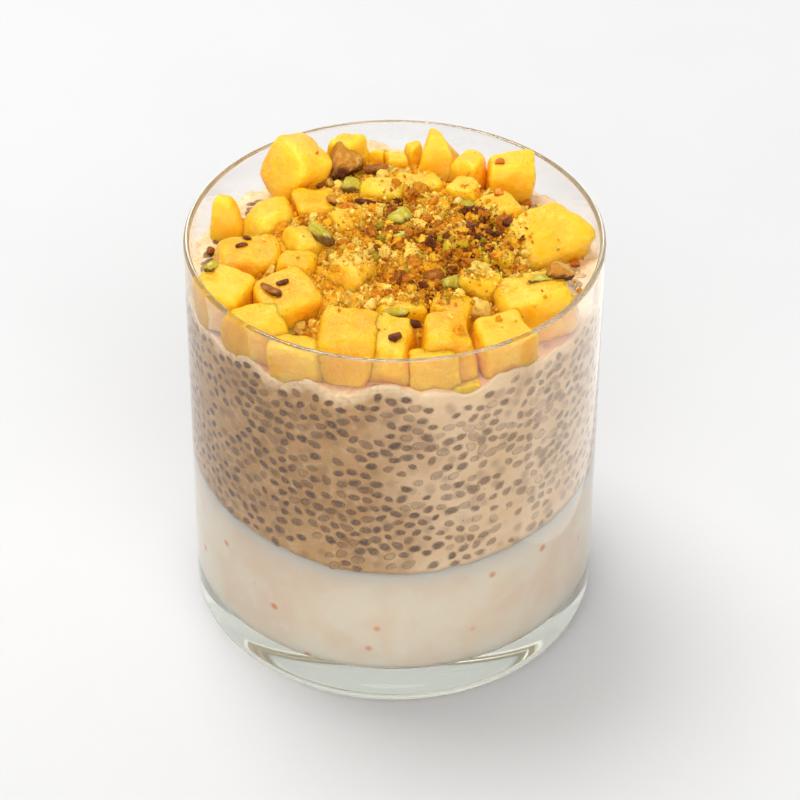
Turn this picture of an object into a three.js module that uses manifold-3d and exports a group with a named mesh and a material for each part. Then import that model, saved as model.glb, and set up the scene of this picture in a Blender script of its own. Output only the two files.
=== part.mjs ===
// Chia pudding in a straight tumbler: cream below, chia pudding above it, mango dice and nut crumble on top.
// Millimetres, +Z up, origin on the floor under the middle of the glass, front towards -Y.
import * as THREE from 'three';
import { mergeVertices } from 'three/addons/utils/BufferGeometryUtils.js';
import Module from 'manifold-3d';

// Driving dimensions of the glass
const GLASS_RADIUS = 38;
const GLASS_HEIGHT = 81;
const WALL = 2.5; // the wall at the base, from where it thins evenly
const RIM_WALL = 1.1; // the wall at the rim
const BASE_THICKNESS = 7.6;
const HEEL_RADIUS = 4;
const INNER_CORNER = 3;
const FOOT_RING = 27; // inner radius of the flat ring that the glass stands on
const FOOT_HOLLOW = 0.8; // depth of the shallow hollow inside that ring
const FOOT_SLOPE = 14; // width of the hollow's gently sloping edge
const ROUND_SIDES = 48;
const ARC_STEPS = 4;

// Driving dimensions of the contents
const GAP = 0.3; // clearance between touching pieces
const LAYER_LEVEL = 35.3; // where the cream meets the pudding, at the middle
const LAYER_DIP = 3; // how much lower that meeting line lies at the front wall
const LAYER_RINGS = [0, 0.4, 0.75, 1]; // rings of the meeting face, as shares of its radius
const PUDDING_LEVEL = 73.2; // the pudding's top at the middle
const PUDDING_TILT = 0.04; // rise of the pudding's top towards the back, per millimetre
const PUDDING_WAVE = 1.1; // height of the humps along the wall
const PUDDING_HUMPS = 4;
const PUDDING_RINGS = [1, 0.84, 0.6, 0.3, 0];

// Driving dimensions of the topping
const FLAT_SHARE = 0.78; // share of a dice face that stays flat before its edges round off
const EDGE_POWER = 8; // how square a dice is: 2 would be a ball
const MOUND_AT = [0.5, -0.5];
const MOUND_RADII = [30, 29.5];
const MOUND_HEIGHT = 6.2;
const MOUND_EDGE = 0.5; // thickness of the mound at its edge
const MOUND_FULLNESS = 3; // 2 is a dome, more is a cake with a round edge
const MOUND_SIDES = 28;
const MOUND_RINGS = [1, 0.9, 0.7, 0.4, 0];
const CRUMB_COUNT = 48;
const CRUMB_SPREAD = 0.72; // share of the mound's radii that the crumbs cover
const CRUMB_SIZE = [0.9, 1.7]; // smallest and largest crumb radius
const CRUMB_SINK = 0.35; // share of a crumb's radius that lies in the mound
const CRUMB_PITCH = 40; // steepest tilt of a crumb, in degrees
const FINE_NUT = 1.5; // nuts with a radius above this get more sides
const SEED = 7;
const DRAW_FACTOR = 16807;
const DRAW_RANGE = 2147483647;
const GOLDEN_ANGLE = Math.PI * (3 - Math.sqrt(5));
const MERGE_DISTANCE = 1e-4;

const INNER_RADIUS = GLASS_RADIUS - WALL;
const FILL_RADIUS = INNER_RADIUS - GAP;

// Each mango piece: where its middle stands, its lowest and highest level, its width and depth, its turns in
// degrees. taper narrows the top, lean moves the top sideways, power sets how square it is.
const MANGO = [
  { x: -18.9, y: 22.6, low: 74.1, top: 84.7, wide: 10.8, deep: 8, yaw: -48, pitch: -22, roll: 14 },
  { x: -30.3, y: 9.3, low: 71.8, top: 81.8, wide: 7.6, deep: 5, taper: [0.62, 0.4], lean: [-0.7, 1], power: 4 },
  { x: -23, y: 8.6, low: 72, top: 81, wide: 10.4, deep: 9.4, yaw: 25, taper: [0.15, 0.15], power: 3.6 },
  { x: -16.6, y: -1, low: 72, top: 81, wide: 8.6, deep: 9, yaw: 25, taper: [0.45, 0.35], lean: [0.4, 1] },
  { x: -9.1, y: 28, low: 73, top: 83.6, wide: 10.4, deep: 6.4, yaw: -18, taper: [0.46, 0.2] },
  { x: -3.4, y: 30.3, low: 73, top: 78.9, wide: 4, deep: 4, yaw: -20, taper: [0.3, 0.3] },
  { x: 0.3, y: 29, low: 73, top: 79, wide: 4.4, deep: 4, yaw: 10, taper: [0.2, 0.2] },
  { x: 3.3, y: 32, low: 73, top: 79.2, wide: 3.2, deep: 3.2, yaw: 30, taper: [0.2, 0.2] },
  { x: -2.2, y: 15.3, low: 75.5, top: 81.2, wide: 9, deep: 7, yaw: -15, taper: [0.2, 0.2] },
  { x: -7.8, y: 5.6, low: 75.5, top: 81.5, wide: 8.4, deep: 7, yaw: 20, taper: [0.2, 0.2] },
  { x: 8.8, y: 25.4, low: 72, top: 84.8, wide: 12.4, deep: 9, yaw: -12, taper: [0.82, 0.5], lean: [-1, 2] },
  { x: 13.4, y: 23.4, low: 72.5, top: 82.2, wide: 7.6, deep: 9, yaw: -34, taper: [0.3, 0.3] },
  { x: 20.1, y: 22, low: 73, top: 82.3, wide: 9.2, deep: 6, yaw: 8, taper: [0, 0.2], lean: [1.6, 0] },
  { x: 13, y: 15.2, low: 75, top: 81.6, wide: 6.4, deep: 6, yaw: -20, taper: [0.3, 0.2] },
  { x: 26.9, y: 3.8, low: 72, top: 80.7, wide: 14.4, deep: 11.2, yaw: 36, pitch: 28, roll: -6 },
  { x: 24.4, y: -15.8, low: 71.5, top: 81, wide: 13.4, deep: 11, yaw: 14, roll: -2, taper: [0.08, 0.08] },
  { x: 15.3, y: -13, low: 75, top: 81.5, wide: 6.6, deep: 6, yaw: -30, taper: [0.2, 0.2] },
  { x: 9, y: -27.8, low: 71.5, top: 80.8, wide: 9, deep: 10.6, yaw: 10, taper: [0.1, 0.1] },
  { x: 18.6, y: -26, low: 71.5, top: 80.6, wide: 9.6, deep: 10, yaw: 25, taper: [0.08, 0.08] },
  { x: -7.6, y: -10.2, low: 74, top: 82.6, wide: 10, deep: 9.4, yaw: -32, taper: [0.4, 0.35] },
  { x: -8.4, y: -27.6, low: 71.5, top: 81, wide: 11.4, deep: 12.6, yaw: -5, taper: [0.05, 0.08] },
  { x: -0.4, y: -28.4, low: 71.5, top: 80.8, wide: 8.4, deep: 10.8, yaw: -14, taper: [0.16, 0.1] },
  { x: -18.8, y: -15.8, low: 72.5, top: 80.8, wide: 11.4, deep: 11, yaw: 32, taper: [0.05, 0.05] },
  { x: -30.2, y: -13.6, low: 72, top: 80.3, wide: 10, deep: 10, yaw: -25, taper: [0.06, 0.06] },
  { x: -24.6, y: -23.4, low: 71, top: 80, wide: 10.4, deep: 8.6, yaw: 10, taper: [0.05, 0.08] },
  { x: -26.4, y: -2.6, low: 72, top: 79.8, wide: 12.4, deep: 9.4, yaw: 10, taper: [0.08, 0.08] },
  { x: -16, y: -29.2, low: 70, top: 78.8, wide: 11.4, deep: 6.4, yaw: -18, taper: [0.08, 0.08] },
  { x: 11, y: -1.2, low: 76, top: 81.6, wide: 5.2, deep: 4.4, yaw: 15, taper: [0.1, 0.1] },
  { x: 12.4, y: -32.8, low: 68, top: 74, wide: 6.2, deep: 6, yaw: 18, taper: [0.1, 0.1], power: 5 },
  { x: 6.4, y: -32.6, low: 72, top: 78.6, wide: 9.4, deep: 4.8, yaw: 8, taper: [0.1, 0.1] },
  { x: -14, y: 12.2, low: 75, top: 80.6, wide: 9, deep: 8.4, yaw: 15, taper: [0.15, 0.15] },
  { x: 5.5, y: 10, low: 75, top: 81.6, wide: 9.4, deep: 8, yaw: -10, taper: [0.15, 0.2] },
  { x: 4, y: 18.4, low: 75, top: 81, wide: 8.6, deep: 7, yaw: 12, taper: [0.15, 0.15] },
  { x: 19, y: 10.6, low: 74, top: 80.4, wide: 9, deep: 8, yaw: 30, taper: [0.15, 0.15] },
  { x: 1.5, y: -19, low: 74, top: 80.4, wide: 9.6, deep: 7, yaw: 5, taper: [0.1, 0.15] },
  { x: 10.4, y: -19.2, low: 74, top: 80, wide: 8, deep: 6.4, yaw: -12, taper: [0.15, 0.15] },
  { x: -17.6, y: -6.6, low: 74, top: 80.2, wide: 8, deep: 6.6, yaw: -10, taper: [0.15, 0.15] },
  { x: 17.6, y: -4.2, low: 75, top: 80.6, wide: 7.4, deep: 6.6, yaw: 20, taper: [0.15, 0.15] },
];

// Each nut that lies on a mango piece: that piece's number, the nut's middle, its three radii and its yaw.
const NUTS_ON_MANGO = [
  { on: 5, at: [-9, 24.4, 78.9], radii: [2.5, 2.3, 2.6], yaw: 20 },
  { on: 1, at: [-13.4, 20.6, 80.5], radii: [0.8, 0.8, 0.8], yaw: 0 },
  { on: 13, at: [19.4, 21.6, 82.5], radii: [1.2, 0.9, 0.8], yaw: 10 },
  { on: 16, at: [28.6, -11.8, 81.2], radii: [2.4, 1.6, 1.5], yaw: 10 },
  { on: 16, at: [25.2, -13.4, 81], radii: [2, 0.9, 0.7], yaw: -30 },
  { on: 19, at: [15.4, -24, 81], radii: [2.1, 2, 2.2], yaw: 25 },
  { on: 22, at: [-0.2, -31.4, 80.8], radii: [1.1, 0.9, 0.9], yaw: 0 },
  { on: 23, at: [-21.6, -17.2, 81], radii: [1, 2, 0.7], yaw: 15 },
  { on: 23, at: [-19.4, -14.6, 81], radii: [1.1, 0.7, 0.5], yaw: 25 },
  { on: 26, at: [-26.2, -1, 80], radii: [1.5, 0.8, 0.6], yaw: 20 },
  { on: 35, at: [0.9, -20.4, 80.6], radii: [1.9, 1, 0.8], yaw: 0 },
];

// Each larger nut that lies on the mound: its place, its three radii and its yaw.
const NUTS_ON_MOUND = [
  { at: [-8, 17], radii: [2.1, 1.4, 1.3], yaw: 25 },
  { at: [-3.2, 21], radii: [2, 1.1, 1.1], yaw: -10 },
  { at: [-13.2, 3], radii: [1.4, 3.2, 1.5], yaw: 12 },
  { at: [1, 4.2], radii: [2.3, 1.8, 1.7], yaw: -20 },
  { at: [13.4, 6.4], radii: [1.3, 1.9, 1.4], yaw: 30 },
  { at: [10.6, -14.6], radii: [1.9, 1.9, 1.8], yaw: 0 },
  { at: [7.2, -11.2], radii: [1.5, 1.4, 1.3], yaw: 40 },
  { at: [-5, -18.2], radii: [1.3, 1.1, 1.1], yaw: 20 },
  { at: [-15.4, -22.9], radii: [2.4, 1.8, 2.4], yaw: 30 },
];

const wasm = await Module();
wasm.setup();

// A seeded draw between 0 and 1, the same in every run.
function seededDraw(seed) {
  let state = seed;
  return () => {
    state = (state * DRAW_FACTOR) % DRAW_RANGE;
    return state / DRAW_RANGE;
  };
}

// The closed solid of a geometry: shared vertices merged, triangles without area dropped, faces outward.
function solidOf(geometry) {
  const bare = geometry.index ? geometry.toNonIndexed() : geometry.clone();
  bare.deleteAttribute('normal');
  bare.deleteAttribute('uv');
  const merged = mergeVertices(bare, MERGE_DISTANCE);
  const corners = merged.index.array;
  const place = merged.attributes.position;
  const kept = [];
  let volume = 0;
  const [a, b, c] = [new THREE.Vector3(), new THREE.Vector3(), new THREE.Vector3()];
  for (let i = 0; i < corners.length; i += 3) {
    const [p, q, r] = [corners[i], corners[i + 1], corners[i + 2]];
    if (p === q || q === r || r === p) continue;
    kept.push(p, q, r);
    volume += a.fromBufferAttribute(place, p).dot(
      b.fromBufferAttribute(place, q).cross(c.fromBufferAttribute(place, r)));
  }
  const triVerts = Uint32Array.from(volume > 0 ? kept : kept.reverse());
  const vertProperties = Float32Array.from(place.array);
  return new wasm.Manifold(new wasm.Mesh({ numProp: 3, vertProperties, triVerts }));
}

// The largest body of a solid, so that a loose scrap left by a cut is dropped.
function largestBody(solid) {
  const bodies = solid.decompose();
  return bodies.reduce((best, body) => (body.volume() > best.volume() ? body : best));
}

function joined(solids) {
  return solids.reduce((sum, solid) => sum.add(solid));
}

function meshOf(name, solid, color, roughness) {
  const { vertProperties, triVerts } = solid.getMesh();
  const geometry = new THREE.BufferGeometry();
  geometry.setAttribute('position', new THREE.BufferAttribute(Float32Array.from(vertProperties), 3));
  geometry.setIndex(new THREE.BufferAttribute(Uint32Array.from(triVerts), 1));
  geometry.computeVertexNormals();
  const material = new THREE.MeshStandardMaterial({ color, roughness, metalness: 0 });
  const mesh = new THREE.Mesh(geometry, material);
  mesh.name = name;
  return mesh;
}

// A profile of radius and height points turned about the vertical axis.
function turned(profile, sides) {
  return new THREE.LatheGeometry(profile, sides).rotateX(Math.PI / 2);
}

// Points of an arc about a centre, from one angle to another, in degrees.
function arc(radius, height, size, from, to) {
  return Array.from({ length: ARC_STEPS + 1 }, (_, i) => {
    const angle = THREE.MathUtils.degToRad(from + ((to - from) * i) / ARC_STEPS);
    return new THREE.Vector2(radius + size * Math.cos(angle), height + size * Math.sin(angle));
  });
}

// Points of a level face, one for each ring, at shares of a radius.
function level(rings, radius, height) {
  return rings.map((share) => new THREE.Vector2(radius * share, height));
}

// Moves each vertex of a geometry to the place that a function gives for it.
function reshape(geometry, place) {
  const position = geometry.attributes.position;
  const point = new THREE.Vector3();
  for (let i = 0; i < position.count; i += 1) {
    place(point.fromBufferAttribute(position, i));
    position.setXYZ(i, point.x, point.y, point.z);
  }
  return geometry;
}

// Radius that the contents reach at a height: the thinning wall's inner face, less the clearance.
function fillRadius(z) {
  const low = BASE_THICKNESS + INNER_CORNER;
  const rise = (z - low) / (GLASS_HEIGHT - RIM_WALL / 2 - low);
  return FILL_RADIUS + (WALL - RIM_WALL) * THREE.MathUtils.clamp(rise, 0, 1);
}

// Spreads a point of a straight fill out to the thinning wall.
function spreadToWall(point) {
  const spread = fillRadius(point.z) / FILL_RADIUS;
  point.set(point.x * spread, point.y * spread, point.z);
}

// Height of the line where cream and pudding meet: level at the back, dipping towards the front wall.
function layerLevel(y) {
  return LAYER_LEVEL - LAYER_DIP * (Math.min(y, 0) / INNER_RADIUS) ** 2;
}

// Height of the pudding's uneven top: tilted a little, with low humps along the wall.
function puddingTop(x, y) {
  const reach = Math.hypot(x, y) / INNER_RADIUS;
  const wave = Math.cos(PUDDING_HUMPS * Math.atan2(y, x));
  return PUDDING_LEVEL + PUDDING_TILT * y + PUDDING_WAVE * reach ** 2 * wave;
}

// Height of the crumble mound: a full dome over an oval on the pudding.
function moundTop(x, y) {
  const reach = Math.hypot((x - MOUND_AT[0]) / MOUND_RADII[0], (y - MOUND_AT[1]) / MOUND_RADII[1]);
  const dome = Math.max(0, 1 - reach ** MOUND_FULLNESS);
  return puddingTop(x, y) + GAP + MOUND_EDGE + MOUND_HEIGHT * dome;
}

// The glass: a hollow foot inside a flat ring, a rounded heel, a wall straight outside and thinning inside towards
// its round rim, and a thick base.
function glassSolid() {
  const lip = RIM_WALL / 2;
  const profile = [
    new THREE.Vector2(0, FOOT_HOLLOW),
    new THREE.Vector2(FOOT_RING - FOOT_SLOPE, FOOT_HOLLOW),
    new THREE.Vector2(FOOT_RING, 0),
    ...arc(GLASS_RADIUS - HEEL_RADIUS, HEEL_RADIUS, HEEL_RADIUS, -90, 0),
    ...arc(GLASS_RADIUS - lip, GLASS_HEIGHT - lip, lip, 0, 180),
    ...arc(INNER_RADIUS - INNER_CORNER, BASE_THICKNESS + INNER_CORNER, INNER_CORNER, 0, -90),
    new THREE.Vector2(0, BASE_THICKNESS),
  ];
  return solidOf(turned(profile, ROUND_SIDES));
}

// The cream: fills the glass's bottom corner and ends at the meeting line.
function creamSolid() {
  const corner = INNER_CORNER - GAP;
  const floor = BASE_THICKNESS + GAP;
  const profile = [
    new THREE.Vector2(0, floor),
    ...arc(FILL_RADIUS - corner, floor + corner, corner, -90, 0),
    ...level([...LAYER_RINGS].reverse(), FILL_RADIUS, LAYER_LEVEL),
  ];
  const geometry = reshape(turned(profile, ROUND_SIDES), (point) => {
    if (point.z > LAYER_LEVEL - GAP) point.z = layerLevel(point.y);
    spreadToWall(point);
  });
  return solidOf(geometry);
}

// The pudding before the mango is pressed into it: from the meeting line to its uneven top.
function puddingSolid() {
  const profile = [
    ...level(LAYER_RINGS, FILL_RADIUS, LAYER_LEVEL),
    ...level(PUDDING_RINGS, FILL_RADIUS, PUDDING_LEVEL),
  ];
  const geometry = reshape(turned(profile, ROUND_SIDES), (point) => {
    const top = point.z > PUDDING_LEVEL - GAP;
    point.z = top ? puddingTop(point.x, point.y) : layerLevel(point.y) + GAP;
    spreadToWall(point);
  });
  return solidOf(geometry);
}

// A turn made of yaw about Z, pitch about X and roll about Y, in degrees.
function turnOf({ yaw = 0, pitch = 0, roll = 0 }) {
  const [z, x, y] = [yaw, pitch, roll].map(THREE.MathUtils.degToRad);
  return new THREE.Euler(x, y, z, 'ZXY');
}

// Places a point of a cube in a dice: narrowed and moved towards the top, turned and set in its place.
function placeInDice(point, piece, grow) {
  const { x, y, low, top, wide, deep, taper = [0, 0], lean = [0, 0] } = piece;
  const rise = (point.z + 1) / 2;
  point.x = point.x * (wide / 2 + grow) * (1 - taper[0] * rise) + lean[0] * rise;
  point.y = point.y * (deep / 2 + grow) * (1 - taper[1] * rise) + lean[1] * rise;
  point.z *= (top - low) / 2 + grow;
  point.applyEuler(turnOf(piece)).add(new THREE.Vector3(x, y, (low + top) / 2));
}

// A knife-cut dice: a cube rounded by a power law and placed, lying against the wall where it meets it.
function mangoDice(piece) {
  const { power = EDGE_POWER } = piece;
  const geometry = new THREE.BoxGeometry(2, 2, 2, 3, 3, 3);
  return solidOf(reshape(geometry, (point) => {
    const flat = point.toArray().map((t) => (Math.abs(t) < 0.5 ? Math.sign(t) * FLAT_SHARE : t));
    const shrink = flat.reduce((sum, t) => sum + Math.abs(t) ** power, 0) ** (-1 / power);
    point.fromArray(flat).multiplyScalar(shrink);
    placeInDice(point, piece, 0);
    const fit = Math.min(1, fillRadius(point.z) / Math.hypot(point.x, point.y));
    point.set(point.x * fit, point.y * fit, point.z);
  }));
}

// The square block that holds a dice with clearance all round, for cutting its neighbours.
function mangoRoom(piece) {
  return solidOf(reshape(new THREE.BoxGeometry(2, 2, 2), (point) => placeInDice(point, piece, GAP)));
}

// A nut: a ball of few sides, stretched to three radii, turned and set in place.
function nutSolid(at, radii, angles, grow = 0) {
  const geometry = new THREE.IcosahedronGeometry(1, Math.max(...radii) > FINE_NUT ? 1 : 0);
  geometry.scale(...radii.map((radius) => radius + grow));
  geometry.applyMatrix4(new THREE.Matrix4().makeRotationFromEuler(turnOf(angles)));
  return solidOf(geometry.translate(...at));
}

// A nut that lies on the mound, sunk into it a little.
function nutOnMound([x, y], radii, angles) {
  return nutSolid([x, y, moundTop(x, y) + radii[2] * (1 - CRUMB_SINK)], radii, angles);
}

// Every mango dice, each cut clear of the ones before it, with the nuts that lie on it joined on.
function mangoSolids(rooms) {
  return MANGO.map((piece, i) => {
    let solid = mangoDice(piece);
    for (let j = 0; j < i; j += 1) solid = solid.subtract(rooms[j]);
    solid = largestBody(solid);
    for (const nut of NUTS_ON_MANGO.filter(({ on }) => on === i + 1)) {
      const others = rooms.filter((_, j) => j !== i);
      solid = solid.add(largestBody(nutSolid(nut.at, nut.radii, nut).subtract(joined(others))));
    }
    return largestBody(solid);
  });
}

// The crumble mound: a dome on the pudding with nuts and seeded crumbs joined on, cut clear of the mango.
function crumbleSolid(rooms) {
  const profile = [new THREE.Vector2(0, 0), ...level(MOUND_RINGS, 1, 1)];
  const core = reshape(turned(profile, MOUND_SIDES), (point) => {
    const top = point.z === 1;
    point.x = MOUND_AT[0] + MOUND_RADII[0] * point.x;
    point.y = MOUND_AT[1] + MOUND_RADII[1] * point.y;
    point.z = top ? moundTop(point.x, point.y) : puddingTop(point.x, point.y) + GAP;
  });
  const pieces = [solidOf(core)];
  for (const { at, radii, yaw } of NUTS_ON_MOUND) pieces.push(nutOnMound(at, radii, { yaw }));
  const draw = seededDraw(SEED);
  for (let i = 0; i < CRUMB_COUNT; i += 1) {
    const reach = CRUMB_SPREAD * Math.sqrt((i + 0.5) / CRUMB_COUNT);
    const x = MOUND_AT[0] + MOUND_RADII[0] * reach * Math.cos(i * GOLDEN_ANGLE);
    const y = MOUND_AT[1] + MOUND_RADII[1] * reach * Math.sin(i * GOLDEN_ANGLE);
    const size = THREE.MathUtils.lerp(CRUMB_SIZE[0], CRUMB_SIZE[1], draw() ** 2);
    const radii = [size, size * (0.7 + 0.3 * draw()), size * (0.6 + 0.3 * draw())];
    pieces.push(nutOnMound([x, y], radii, { yaw: 360 * draw(), pitch: CRUMB_PITCH * draw() }));
  }
  const nuts = NUTS_ON_MANGO.map((nut) => nutSolid(nut.at, nut.radii, nut, GAP));
  return largestBody(joined(pieces).subtract(joined([...rooms, ...nuts])));
}

// The pudding with a hollow for every mango dice that sinks into it.
function pressedPuddingSolid(rooms) {
  return largestBody(puddingSolid().subtract(joined(rooms)));
}

const mangoRooms = MANGO.map(mangoRoom);
const part = new THREE.Group();
part.add(meshOf('glass', glassSolid(), 0xe8efec, 0.03));
part.add(meshOf('cream_layer', creamSolid(), 0xd9cdbd, 0.45));
part.add(meshOf('chia_pudding', pressedPuddingSolid(mangoRooms), 0xc2a27c, 0.5));
part.add(meshOf('nut_crumble', crumbleSolid(mangoRooms), 0xb9812f, 0.8));
mangoSolids(mangoRooms).forEach((solid, i) => {
  part.add(meshOf(`mango_${String(i + 1).padStart(2, '0')}`, solid, 0xf2b92a, 0.35));
});

export default part;
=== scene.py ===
"""Chia pudding in its glass: the tumbler, the cream, the seeded pudding, the mango dice and the nut crumble.

Shapes are worked out in millimetres in the part's own frame: +Z up, origin on the floor under the middle of the
glass, front towards -Y. make_piece puts them into meshes in metres.
"""

import math

import bpy
import numpy as np
from mathutils import Matrix
from mathutils.bvhtree import BVHTree


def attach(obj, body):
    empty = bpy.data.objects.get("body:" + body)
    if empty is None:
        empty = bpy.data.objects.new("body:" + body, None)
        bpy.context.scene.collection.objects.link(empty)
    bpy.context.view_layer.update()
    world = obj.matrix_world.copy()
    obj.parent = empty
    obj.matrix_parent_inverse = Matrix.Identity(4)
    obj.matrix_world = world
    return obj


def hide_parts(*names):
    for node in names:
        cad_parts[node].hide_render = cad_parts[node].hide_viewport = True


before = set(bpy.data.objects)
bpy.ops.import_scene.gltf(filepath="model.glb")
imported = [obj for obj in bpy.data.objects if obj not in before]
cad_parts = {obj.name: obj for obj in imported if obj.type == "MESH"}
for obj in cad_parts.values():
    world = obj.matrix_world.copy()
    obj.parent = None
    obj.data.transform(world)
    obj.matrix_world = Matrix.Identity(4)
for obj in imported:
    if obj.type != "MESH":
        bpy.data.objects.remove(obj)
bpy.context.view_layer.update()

MM = 0.001

# The glass, as in the part's source
GLASS_RADIUS = 38.0
GLASS_HEIGHT = 81.0
WALL = 2.5  # the wall at the base, from where it thins evenly
RIM_WALL = 1.1
WALL_EASE = 0.25  # distance from each arc at which the walls' shading is flat again
BASE_THICKNESS = 7.6
HEEL_RADIUS = 4.0
INNER_CORNER = 3.0
FOOT_RING = 27.0
FOOT_HOLLOW = 0.8
FOOT_SLOPE = 14.0
GLASS_SIDES = 224
ARC_STEPS = 12
INNER_RADIUS = GLASS_RADIUS - WALL
WET_DEPTH = 0.12  # how far what fills the glass reaches into the wall, so that no air shows
WET_RADIUS = INNER_RADIUS + WET_DEPTH
DICE_DEPTH = 0.07  # how far a dice at the wall reaches into it

# The contents, with plain levels as in the part's source
LAYER_LEVEL = 35.3
LAYER_DIP = 3.0
LAYER_WAVE = 0.35  # unevenness of the line where cream and pudding meet
CREAM_FILM = 0.06  # the film of air between the base and the cream, which lets the base gleam
PUDDING_LEVEL = 73.2
PUDDING_TILT = 0.04
PUDDING_WAVE = 1.1
PUDDING_HUMPS = 4
FROTH_HUMPS = (  # x, y, width, height
    (-23.5, -26.7, 4.0, 2.4), (-14.7, -32.4, 2.8, 2.2), (-1.0, -35.6, 3.8, 2.4), (19.0, -30.1, 4.0, 2.2),
    (27.0, -23.0, 11.0, 2.8),
)
MOUND_AT = (0.5, -0.5)
MOUND_RADII = (30.0, 29.5)
MOUND_HEIGHT = 6.2
MOUND_EDGE = 0.8  # the mound's thickness at its edge and the clearance under it
MOUND_FULLNESS = 3
EDGE_POWER = 6.5  # a little rounder than the solids
SEED_HALF_LENGTH = 1.08
SEED_WIDTH_SHARE = 0.72
SEED_HALF_THICKNESS = 0.09
SEEDS_AT_WALL = 1350
SEEDS_ON_TOP = 1500
SEED_GAP = 2.5  # distance that the seeds at the wall are pushed apart to
SEED_ROUNDS = 14
SEED_ABOVE = 0.7  # least height of a seed's middle over the cream
SEED_BELOW = 2.0  # least depth of a seed's middle under the froth
SEED_DROP = 100.0  # height that the seeds on the top fall from
CLEAR_SEEDS = 0.62  # share of the seeds that lie close to the surface
HEAP_AT = (6.5, -3.0)  # where most of the crumbs lie
HEAP_REACH = 17.5
FILL_SIDES = 288

# The photograph's camera: what it looks at, from how far and how high, and its focal length in picture points
SIGHT_TARGET = np.array([1.083, 0.0, 43.14])
SIGHT_DISTANCE = 589.0
SIGHT_ELEVATION = math.radians(37.88)
SIGHT_ROLL = 0.0048
SIGHT_FOCAL = 3148.0
PICTURE = 800
SENSOR = 36.0

# The floor, in metres: a little below the foot, so that the two don't meet
FLOOR_LEVEL = -0.0002
FLOOR_REACH = 2

# The studio's light: an even sky, brighter low down all round and behind the camera, and a high soft lamp
SKY_LIGHT = 0.24
LOW_LIGHT = 0.5
FILL_LIGHT = 2.75
FILL_TOWARD = (0.1, -0.92, 0.38)
BACK_LIGHT = 0.5
BACK_TOWARD = (0.0, 0.86, 0.5)
KEY_TOWARD = (-0.24, 0.24, 0.94)
KEY_POWER = 3.4
KEY_WIDTH = 0.38  # in metres, as are the other sizes of lamps
KEY_DISTANCE = 0.75
CARD_SIZE = (0.1, 0.14)
CARD_AT = (0.112, 0.03, 0.001)
CARD_POWER = 0.03


def dice(x, y, low, top, wide, deep, yaw, taper=0, **cut):
    """A row of the table of mango pieces: its middle, its lowest and highest level, its width and depth, its turn in
    degrees, its taper, and where it has them its pitch, roll, lean, power and pale, which is how fibrous and light its
    cut faces are."""
    return dict(x=x, y=y, low=low, top=top, wide=wide, deep=deep, yaw=yaw, taper=taper, **cut)


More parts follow.
